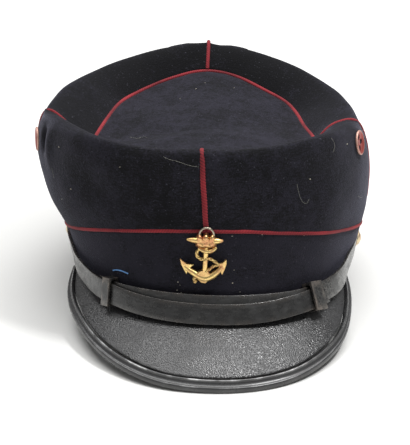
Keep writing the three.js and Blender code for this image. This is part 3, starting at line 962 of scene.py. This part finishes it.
def leather_strip(node, name, round_by):
    """A strip of strap leather with softened cut edges."""
    piece = copy_of(node, name)
    with editing(piece) as mesh:
        crease = mesh.edges.layers.float.new("crease_edge")
        for edge in cut_edges(mesh):
            edge[crease] = 1.0
    subdivide(piece, 2)
    with editing(piece) as mesh:
        ends = [[v.co.copy() for v in edge.verts] for edge in cut_edges(mesh)]
    lines = [a.lerp(b, t / 4) for a, b in ends for t in range(4)]
    bevel(piece, round_by * MM, 3)
    mark_edges(piece, lines, reach=0.28)
    smooth(piece, 40)
    return piece


class KEPI_OT_strap(bpy.types.Operator):
    """Make both halves of the chin strap and the loops that hold them together"""
    bl_idname = "kepi.strap"
    bl_label = "Chin strap"

    def execute(self, context):
        hide = strap_leather()
        for side in ("left", "right"):
            dress(leather_strip("strap_" + side, "strap_strip_" + side, 0.22), hide, "leather",
                  "strap_" + side)
            dress(leather_strip("strap_loop_" + side, "strap_keeper_" + side, 0.35), hide,
                  "leather", "strap_loop_" + side)
        return {"FINISHED"}


# Buttons

def lathe(name, profile, steps):
    """A profile of radius and height turned round the height axis, in millimetres."""
    piece = new_mesh(name, [(r, 0, z) for r, z in profile], [])
    with editing(piece) as mesh:
        mesh.verts.ensure_lookup_table()
        for i in range(len(profile) - 1):
            mesh.edges.new((mesh.verts[i], mesh.verts[i + 1]))
    with all_selected(piece):
        bpy.ops.mesh.spin(steps=steps, angle=2 * math.pi, center=(0, 0, 0), axis=(0, 0, 1))
        bpy.ops.mesh.remove_doubles(threshold=1e-4)
    face_outwards(piece)
    return piece


BUTTON = [(0, 0), (4.1, 0), (4.55, 0.1), (4.8, 0.4), (4.8, 0.7), (4.55, 0.95), (4.2, 0.97),
          (4.05, 0.9), (3.9, 1.05), (3.5, 1.6), (2.8, 2.15), (1.9, 2.55), (0.9, 2.76), (0, 2.8)]


class KEPI_OT_buttons(bpy.types.Operator):
    """Make the domed brass buttons that hold the strap's ends"""
    bl_idname = "kepi.buttons"
    bl_label = "Side buttons"

    def execute(self, context):
        brass = worn_brass("worn_button_brass", 0.5, 0.6)
        for side in ("left", "right"):
            node = "button_" + side
            dome = lathe("domed_" + node, BUTTON, 40)
            subdivide(dome, 1)
            smooth(dome, 50)
            settle(dome, seat_matrix(node, up_by=-0.9))
            dress(dome, brass, "brass", node)
        return {"FINISHED"}


# Badge

def plate(name, outline, low, high, edge):
    """A flat stamping of an outline between two heights, its upper edge rounded so far."""
    count = len(outline)
    corners = [(x, y, low) for x, y in outline] + [(x, y, high) for x, y in outline]
    faces = [tuple(range(count))[::-1], tuple(range(count, 2 * count))]
    faces += [(i, (i + 1) % count, (i + 1) % count + count, i + count) for i in range(count)]
    piece = new_mesh(name, corners, faces)
    with editing(piece) as mesh:
        bmesh.ops.recalc_face_normals(mesh, faces=mesh.faces)
        top = [e for e in mesh.edges if all(v.co.z > (low + high) / 2 for v in e.verts)]
        bmesh.ops.bevel(mesh, geom=top, offset=edge, segments=3, profile=0.6, affect="EDGES",
                        clamp_overlap=True)
    smooth(piece, 35)
    return piece


def rod(name, rows, sides=12, relief=None):
    """A tapering bar through rows of x, y, z and radius, in the badge's own millimetres."""
    rows = curve_through(rows, False, 8)
    length = np.linalg.norm(np.diff(rows[:, :3], axis=0), axis=1).sum()
    piece = tube(name, rows[:, :3], rows[:, 3], sides, False, relief, length)
    if relief:
        ridge = [v.value for v in piece.data.attributes["ridge"].data]
        mark(piece, "groove", 1 - np.array(ridge))
    settle(piece, Matrix.Scale(1 / MM, 4))
    return piece


SHANK = [(0.3, 1.5, 1.2, 1.3), (0.7, 6.0, 1.3, 1.35), (1.0, 11.0, 1.3, 1.3), (1.2, 16.0, 1.3, 1.35),
         (1.4, 20.0, 1.2, 1.3)]
ARMS = [(-10.4, 9.0, 1.0, 0.8), (-8.3, 6.9, 1.1, 1.35), (-4.6, 4.4, 1.2, 1.85),
        (-1.6, 2.6, 1.3, 2.1), (0.6, 1.8, 1.35, 2.2), (3.0, 2.4, 1.3, 2.1),
        (6.0, 4.3, 1.2, 1.8), (8.6, 7.0, 1.1, 1.35), (10.2, 9.4, 1.0, 0.8)]
FLUKE_LEFT = [(-11.9, 12.4), (-8.6, 9.6), (-4.9, 9.3), (-6.4, 7.9), (-7.4, 6.6), (-8.6, 4.1),
              (-10.0, 6.6), (-11.3, 9.6)]
FLUKE_RIGHT = [(11.6, 12.4), (9.6, 10.4), (6.9, 9.8), (7.9, 8.2), (8.4, 6.4), (9.5, 3.7),
               (10.8, 6.8), (11.7, 9.8)]
CROWN_FOOT = [(-4.0, 4.4), (-2.2, 6.0), (0.4, 6.5), (2.8, 5.6), (4.4, 3.6), (3.2, 1.2), (1.0, -0.7),
              (-1.2, -0.2), (-3.2, 1.8)]
STOCK = [(-8.4, 22.9, 1.0, 0.5), (-6.6, 22.7, 1.1, 1.2), (-3.0, 22.3, 1.1, 1.9),
         (1.5, 22.2, 1.1, 2.0), (5.6, 22.1, 1.1, 1.9), (8.2, 22.2, 1.1, 1.3),
         (9.9, 22.3, 1.0, 0.5)]
COLLAR = [(-2.6, 18.6, 1.9, 0.7), (-0.6, 17.4, 2.2, 1.05), (2.2, 16.6, 2.3, 1.2),
          (4.8, 17.4, 2.2, 1.05), (6.5, 19.0, 1.9, 0.7)]
ROPE_LEFT = [(0.6, 17.9, 2.1, 0.8), (-1.8, 17.9, 1.7, 0.95), (-3.5, 16.4, 1.5, 1.0),
             (-3.4, 14.2, 1.5, 1.0), (-1.9, 12.6, 1.7, 1.0), (0.6, 12.3, 2.4, 0.95),
             (2.6, 13.3, 2.2, 0.95), (5.0, 11.9, 1.6, 0.95), (7.2, 10.0, 1.5, 0.9),
             (8.8, 8.6, 1.5, 0.8)]
ROPE_RIGHT = [(8.6, 9.2, 1.6, 0.8), (6.6, 9.3, 1.5, 0.9), (4.8, 8.6, 1.5, 0.95),
              (3.2, 6.9, 1.6, 0.95), (1.0, 5.9, 2.3, 0.9), (-1.6, 4.2, 2.2, 0.85),
              (-4.3, 2.6, 1.6, 0.95), (-4.8, 0.8, 1.4, 1.25), (-3.6, -0.3, 1.4, 1.2)]


def fluted_block():
    """The fluted and scalloped head of the shank."""
    columns, rows = 48, 12
    corners, faces = [], []
    for i in range(columns + 1):
        share = i / columns
        x = -4.1 + 10.6 * share
        lobe = abs(math.sin(math.pi * share * 3))
        top = 24.4 + 2.0 * lobe ** 0.6 - 1.4 * (2 * share - 1) ** 4
        foot = 18.9 - 0.9 * (1 - (2 * share - 1) ** 2)
        for j in range(rows + 1):
            rise = j / rows
            y = foot + (top - foot) * rise
            round_off = (1 - (2 * share - 1) ** 6) * (1 - (2 * rise - 1) ** 8)
            flute = 0.55 * lobe * (0.35 + 0.65 * rise)
            band = 0.35 * math.exp(-((rise - 0.32) / 0.09) ** 2)
            corners.append((x, y, 0.4 + (2.7 + flute + band) * round_off))
    front = len(corners)
    corners += [(x, y, 0.2) for x, y, _ in corners]

    def at(i, j, back=0):
        return back * front + i * (rows + 1) + j

    for i in range(columns):
        for j in range(rows):
            faces.append((at(i, j), at(i + 1, j), at(i + 1, j + 1), at(i, j + 1)))
            faces.append((at(i, j, 1), at(i, j + 1, 1), at(i + 1, j + 1, 1), at(i + 1, j, 1)))
        faces.append((at(i, 0), at(i, 0, 1), at(i + 1, 0, 1), at(i + 1, 0)))
        faces.append((at(i, rows), at(i + 1, rows), at(i + 1, rows, 1), at(i, rows, 1)))
    for j in range(rows):
        for i in (0, columns):
            faces.append((at(i, j), at(i, j + 1), at(i, j + 1, 1), at(i, j, 1)))
    piece = new_mesh("fluted_block", corners, faces)
    face_outwards(piece)
    smooth(piece, 50)
    return piece


def blushing(piece, share):
    """Marks a part whose gilding has worn down to copper."""
    mark_all(piece, "blush", share)
    return piece


class KEPI_OT_badge(bpy.types.Operator):
    """Make the stamped anchor with its rope, and the wire ring at its head"""
    bl_idname = "kepi.badge"
    bl_label = "Anchor badge"

    def execute(self, context):
        rope = twisted(3, 2.4, 0.4)
        parts = [
            plate("fluke_left", FLUKE_LEFT, 0.2, 1.9, 0.45),
            plate("fluke_right", FLUKE_RIGHT, 0.2, 1.9, 0.45),
            blushing(plate("crown_foot", CROWN_FOOT, 0.2, 3.0, 1.0), 0.5),
            rod("shank", SHANK), rod("arms", ARMS, 14), rod("stock", STOCK), rod("collar", COLLAR),
            rod("rope_left", ROPE_LEFT, 14, rope), rod("rope_right", ROPE_RIGHT, 14, rope),
            blushing(fluted_block(), 1.0),
        ]
        anchor = join("anchor_relief", parts)
        settle(anchor, seat_matrix("badge"))
        dress(anchor, worn_brass("worn_badge_brass", 0.9), "brass", "anchor_badge")

        turns = np.linspace(0, 2 * math.pi, 64, endpoint=False)
        circle = np.stack([1.6 + 3.55 * np.cos(turns), 25.6 + 3.9 * np.sin(turns),
                           1.5 + 0.5 * np.sin(turns)], 1)
        wire = tube("ring_wire", circle, 0.55, 12, True)
        mark_all(wire, "groove", 0.5)
        settle(wire, seat_matrix("badge") @ Matrix.Scale(1 / MM, 4))
        dress(wire, worn_brass("silvery_ring_brass", 0.0, 0.9), "brass", "badge_ring")
        return {"FINISHED"}


# Vents

VENT = [(0, 0.15), (1.2, 0.12), (2.6, 0.2), (4.2, 0.4), (5.4, 0.75), (5.8, 1.1), (6.2, 1.25),
        (6.5, 1.1), (6.65, 0.7), (6.55, 0.3), (6.3, 0.05), (5.6, 0.1), (4.4, 0.05),
        (2.6, -0.1), (0, -0.15)]
# How far out of the cloth each vent's own middle sits.
VENT_OFFSETS = {"left": -1.2, "right": -0.6}
# The four holes, and the radius at which the bare rim begins.
HOLE_RADIUS = 1.6
HOLE_FROM_MIDDLE = 2.97
RIM_START = 5.9


def vent_eyelet(name):
    """A dished eyelet with a rolled rim and four round holes."""
    piece = lathe(name, VENT, 48)
    cutters = []
    for x, y in ((1, 0), (-1, 0), (0, 1), (0, -1)):
        bpy.ops.mesh.primitive_cylinder_add(
            vertices=24, radius=HOLE_RADIUS, depth=6,
            location=(HOLE_FROM_MIDDLE * x, HOLE_FROM_MIDDLE * y, 0))
        cutters.append(bpy.context.object)
    cutter = join(name + "_cutter", cutters)
    apply(piece, "BOOLEAN", operation="DIFFERENCE", object=cutter, solver="EXACT")
    bpy.data.objects.remove(cutter, do_unlink=True)
    bevel(piece, 0.08, 2)
    mark(piece, "edge", [min(max((math.hypot(*v.co[:2]) - RIM_START) / 0.4, 0), 1)
                         for v in piece.data.vertices])
    smooth(piece, 35)
    return piece


class KEPI_OT_vents(bpy.types.Operator):
    """Make the lacquered eyelets that air the crown"""
    bl_idname = "kepi.vents"
    bl_label = "Vents"

    def execute(self, context):
        lacquer = vent_lacquer()
        for side in ("left", "right"):
            node = "vent_" + side
            eyelet = vent_eyelet(node + "_eyelet")
            settle(eyelet, seat_matrix(node, VENT_OFFSETS[side]))
            middle = np.array(SEATS[node][0])[None]
            set_values(eyelet, values(eyelet) + rumple(middle))
            dress(eyelet, lacquer, "copper", node)
        return {"FINISHED"}


# Lint

def sight(px, py):
    """The camera's place and its direction through a place of the picture."""
    camera = bpy.context.scene.camera
    step = SENSOR / max(PICTURE)
    aim = Vector(((px - PICTURE[0] / 2) * step, (PICTURE[1] / 2 - py) * step, -camera.data.lens))
    turn = camera.matrix_world.to_3x3()
    return camera.matrix_world.translation, (turn @ aim).normalized()


def touch(trees, px, py, off):
    """The place on the dressed cap behind a place of the picture, a little off its face."""
    start, aim = sight(px, py)
    hits = [hit for hit in (tree.ray_cast(start, aim) for tree in trees) if hit[0]]
    place, normal = min(hits, key=lambda hit: hit[3])[:2]
    return np.array(place + normal * off * MM) / MM


HAIRS = [
    [(128, 137), (133, 138), (139, 139), (143, 136), (147, 138)],
    [(156, 148), (159, 152), (163, 157), (170, 160), (177, 161), (184, 164), (191, 166), (199, 167)],
    [(297, 184), (298, 190), (300, 198), (303, 203), (307, 204), (309, 199)],
    [(331, 138), (334, 142), (335, 147), (333, 152)],
    [(358, 196), (361, 198), (362, 197)],
    [(52, 168), (53, 173), (54, 178)],
]
BLUE_THREAD = [(113.5, 270.2), (117, 269.6), (121, 270.3), (125, 271.8), (128.5, 273.6)]
SPECKS = [(205, 83), (234, 88), (196, 89), (180, 99), (232, 236), (262, 234.5), (304, 235.5),
          (178, 282), (180, 285), (181, 292.5), (234, 270), (240, 292), (59, 147), (347, 144),
          (62, 199), (120, 167), (71, 189), (310, 179), (232.5, 283), (177, 290)]


class KEPI_OT_lint(bpy.types.Operator):
    """Scatter the loose hairs, the blue thread and the specks that cling to the wool"""
    bl_idname = "kepi.lint"
    bl_label = "Lint"

    def execute(self, context):
        depsgraph = context.evaluated_depsgraph_get()
        trees = [BVHTree.FromObject(bpy.data.objects[name], depsgraph) for name in
                 ("band_wool", "quarter_front_right", "quarter_front_left", "sunken_top",
                  "quarter_back_right", "quarter_back_left", "front_cord")]

        def strand(name, places, radius, off):
            line = curve_through([touch(trees, x, y, off) for x, y in places], False, 5)
            return tube(name, line, radius, 5, False)

        hairs = [strand("hair_%d" % i, places, radius=0.05, off=0.1)
                 for i, places in enumerate(HAIRS)]
        dress(join("pale_hairs", hairs), plain_fibre("pale_hair", linear("#a6a69c")), "wool")
        dress(strand("blue_thread", BLUE_THREAD, radius=0.34, off=0.3),
              plain_fibre("blue_cotton_thread", linear("#6f9fd8")), "wool")

        chance = random.Random(7)
        specks = []
        for i, (px, py) in enumerate(SPECKS):
            place = Vector(touch(trees, px, py, 0.1)) * MM
            bpy.ops.mesh.primitive_ico_sphere_add(
                subdivisions=2, radius=chance.uniform(0.18, 0.38) * MM)
            speck = bpy.context.object
            for vert in speck.data.vertices:
                vert.co *= 1 + 0.35 * noise.noise(vert.co / (0.2 * MM) + Vector((i, 0, 0)))
                vert.co.z *= 0.7
            settle(speck, Matrix.Translation(place))
            specks.append(speck)
        crumbs = join("specks", specks)
        smooth(crumbs)
        dress(crumbs, plain_fibre("pale_speck", linear("#cdc7b6")), "wool")
        return {"FINISHED"}


# Stage

def looking(place, aim):
    """The matrix of a camera or a light that stands in one place and looks at another."""
    turn = (aim - place).to_track_quat("-Z", "Y")
    return Matrix.Translation(place) @ turn.to_matrix().to_4x4()


class KEPI_OT_camera(bpy.types.Operator):
    """Set the camera at the picture's angle"""
    bl_idname = "kepi.camera"
    bl_label = "Camera"

    def execute(self, context):
        data = bpy.data.cameras.new("camera")
        data.sensor_fit = "AUTO"
        data.sensor_width = SENSOR
        data.lens = context.scene.kepi_stage.lens
        data.clip_start, data.clip_end = 0.01, 50
        camera = linked("camera", data)
        camera.matrix_world = (looking(Vector(EYE) * MM, Vector(AIM) * MM)
                               @ Matrix.Rotation(math.radians(ROLL), 4, "Z"))
        context.scene.camera = camera
        context.view_layer.update()
        return {"FINISHED"}


def softbox(name, place, aim, size, power):
    data = bpy.data.lights.new(name, "AREA")
    data.shape = "RECTANGLE"
    data.size, data.size_y = size
    data.energy = power
    linked(name, data).matrix_world = looking(Vector(place), Vector(aim))


class KEPI_OT_stage(bpy.types.Operator):
    """Lay the pale floor and set the soft studio light"""
    bl_idname = "kepi.stage"
    bl_label = "Stage"

    def execute(self, context):
        stage = context.scene.kepi_stage
        bpy.ops.mesh.primitive_plane_add(size=12)
        floor = context.object
        floor.name = "studio_floor"
        paper, tree, place = material("matt_studio_paper", Roughness=0.9)
        link(tree, blend(tree, grains(tree, place, 500, 1.0), stage.floor,
                         tuple(0.985 * c for c in stage.floor)))
        floor.data.materials.append(paper)

        world = bpy.data.worlds.new("white_room")
        world.use_nodes = True
        back = world.node_tree.nodes["Background"]
        back.inputs["Color"].default_value = (1, 1, 1, 1)
        back.inputs["Strength"].default_value = stage.surround
        context.scene.world = world
        context.scene.view_settings.view_transform = "Standard"
        softbox("softbox_overhead", (-0.05, 0.25, 1.5), (0, 0.05, 0), (1.8, 1.6), stage.key_power)
        softbox("softbox_glint", (0.52, -0.2, 1.2), (0.03, -0.1, 0.03), (0.16, 0.16),
                stage.glint_power)
        return {"FINISHED"}


OPERATORS = [
    KEPI_OT_camera, KEPI_OT_stage, KEPI_OT_crown, KEPI_OT_piping, KEPI_OT_peak, KEPI_OT_strap,
    KEPI_OT_buttons, KEPI_OT_badge, KEPI_OT_vents, KEPI_OT_lint,
]


class KEPI_PT_panel(bpy.types.Panel):
    """Lists the kepi's pieces and their settings"""
    bl_idname = "KEPI_PT_panel"
    bl_label = "Kepi"
    bl_space_type = "VIEW_3D"
    bl_region_type = "UI"
    bl_category = "Kepi"

    def draw(self, context):
        for operator in OPERATORS:
            self.layout.operator(operator.bl_idname)
        for name, group in GROUPS.items():
            column = self.layout.column()
            for field in group.__annotations__:
                column.prop(getattr(context.scene, name), field)


def register():
    for group in GROUPS.values():
        bpy.utils.register_class(group)
    for operator in OPERATORS:
        bpy.utils.register_class(operator)
    bpy.utils.register_class(KEPI_PT_panel)
    for name, group in GROUPS.items():
        setattr(bpy.types.Scene, name, PointerProperty(type=group))


def unregister():
    for name in GROUPS:
        delattr(bpy.types.Scene, name)
    bpy.utils.unregister_class(KEPI_PT_panel)
    for operator in reversed(OPERATORS):
        bpy.utils.unregister_class(operator)
    for group in reversed(GROUPS.values()):
        bpy.utils.unregister_class(group)


def main():
    register()
    noise.seed_set(RUMPLE_SEED)
    for operator in OPERATORS:
        family, name = operator.bl_idname.split(".")
        getattr(getattr(bpy.ops, family), name)()
    bpy.context.view_layer.update()


if __name__ == "__main__":
    main()
